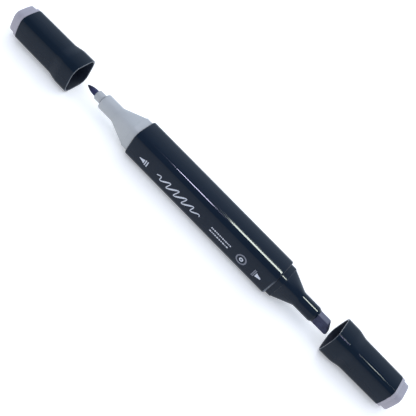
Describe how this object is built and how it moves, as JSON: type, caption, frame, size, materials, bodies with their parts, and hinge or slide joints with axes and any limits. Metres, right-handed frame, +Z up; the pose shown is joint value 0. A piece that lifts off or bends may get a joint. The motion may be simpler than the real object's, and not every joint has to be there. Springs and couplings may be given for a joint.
{
  "type": "felt tip marker",
  "caption": "Twin-tip art marker: rounded-square barrel with a fine bullet nib at one end, a chisel nib at the other, and a plugged pull-off cap for each.",
  "frame": {"origin": "middle of the barrel face that the marker rests on", "axes": "+X along the marker towards the chisel end, +Z up, print on the -Y face"},
  "size_m": [0.2233, 0.0154, 0.0154],
  "materials": {
    "barrel_plastic": "satin gloss black moulding with a cool cast",
    "cap_plastic": "satin gloss black moulding, a little darker than the barrel",
    "grey_plastic": "satin pale grey moulding",
    "plug_plastic": "satin lilac-grey moulding",
    "liner_plastic": "matte black moulding",
    "nib_fibre": "bonded fibre soaked with dark violet-blue ink",
    "core_fibre": "bundled fibre soaked with ink",
    "film": "thin milky film"
  },
  "bodies": {
    "marker": {"barrel": "barrel_plastic", "fine_nose": "grey_plastic", "fine_nib_holder": "grey_plastic", "fine_nib": "nib_fibre", "chisel_nose": "barrel_plastic", "chisel_nib": "nib_fibre", "ink_reservoir": "core_fibre", "reservoir_sleeve": "film"},
    "fine_cap": {"fine_cap_shell": "cap_plastic", "fine_cap_liner": "liner_plastic", "fine_cap_plug": "plug_plastic"},
    "chisel_cap": {"chisel_cap_shell": "cap_plastic", "chisel_cap_liner": "liner_plastic", "chisel_cap_plug": "plug_plastic"}
  },
  "joints": [
    {"name": "fine_cap_slide", "type": "slide", "parent": "marker", "child": "fine_cap", "axis": [1, 0, 0], "range_m": [0, 0.0363]},
    {"name": "chisel_cap_slide", "type": "slide", "parent": "marker", "child": "chisel_cap", "axis": [-1, 0, 0], "range_m": [0, 0.0322]}
  ]
}
